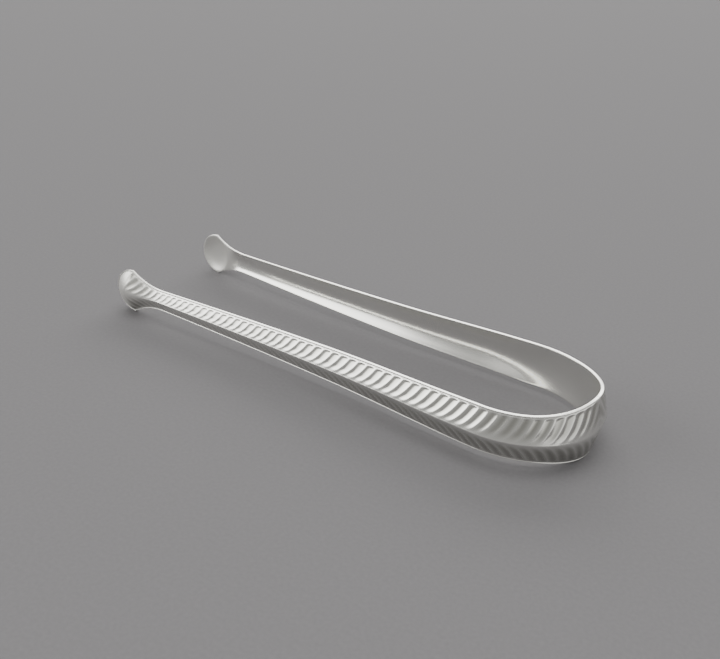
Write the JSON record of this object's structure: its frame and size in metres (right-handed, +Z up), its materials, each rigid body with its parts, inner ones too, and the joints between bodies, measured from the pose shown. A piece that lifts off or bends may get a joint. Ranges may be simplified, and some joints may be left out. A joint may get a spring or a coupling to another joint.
{
  "type": "ice tongs",
  "caption": "U-shaped spring tongs for ice: a tapering channel-section silver strip on edge, with a round spoon bowl at each tip.",
  "frame": {"origin": "on the table, under the middle of the overall box, with the tongs lying on edge", "axes": "+X from the bowls to the crown of the bow, +Z up across the strip's width, +Y to the right arm as seen from the bow"},
  "size_m": [0.18, 0.0522, 0.0197],
  "materials": {
    "silver": "polished sterling silver, softly worn"
  },
  "bodies": {
    "bow": {"bow_crown": "silver"},
    "left_side": {"left_shoulder": "silver", "left_arm": "silver", "left_bowl": "silver"},
    "right_side": {"right_shoulder": "silver", "right_arm": "silver", "right_bowl": "silver"}
  },
  "joints": [
    {"name": "left_flex", "type": "hinge", "parent": "bow", "child": "left_side", "pos_m": [0.07839, -0.01432, 0.009], "axis": [0, 0, -1], "range_deg": [-2.5, 7.35], "stiffness_Nm_per_rad": 3, "deforming": ["bow_crown"]},
    {"name": "right_flex", "type": "hinge", "parent": "bow", "child": "right_side", "pos_m": [0.07839, 0.01432, 0.009], "axis": [0, 0, 1], "range_deg": [-2.5, 7.35], "stiffness_Nm_per_rad": 3, "deforming": ["bow_crown"]}
  ]
}
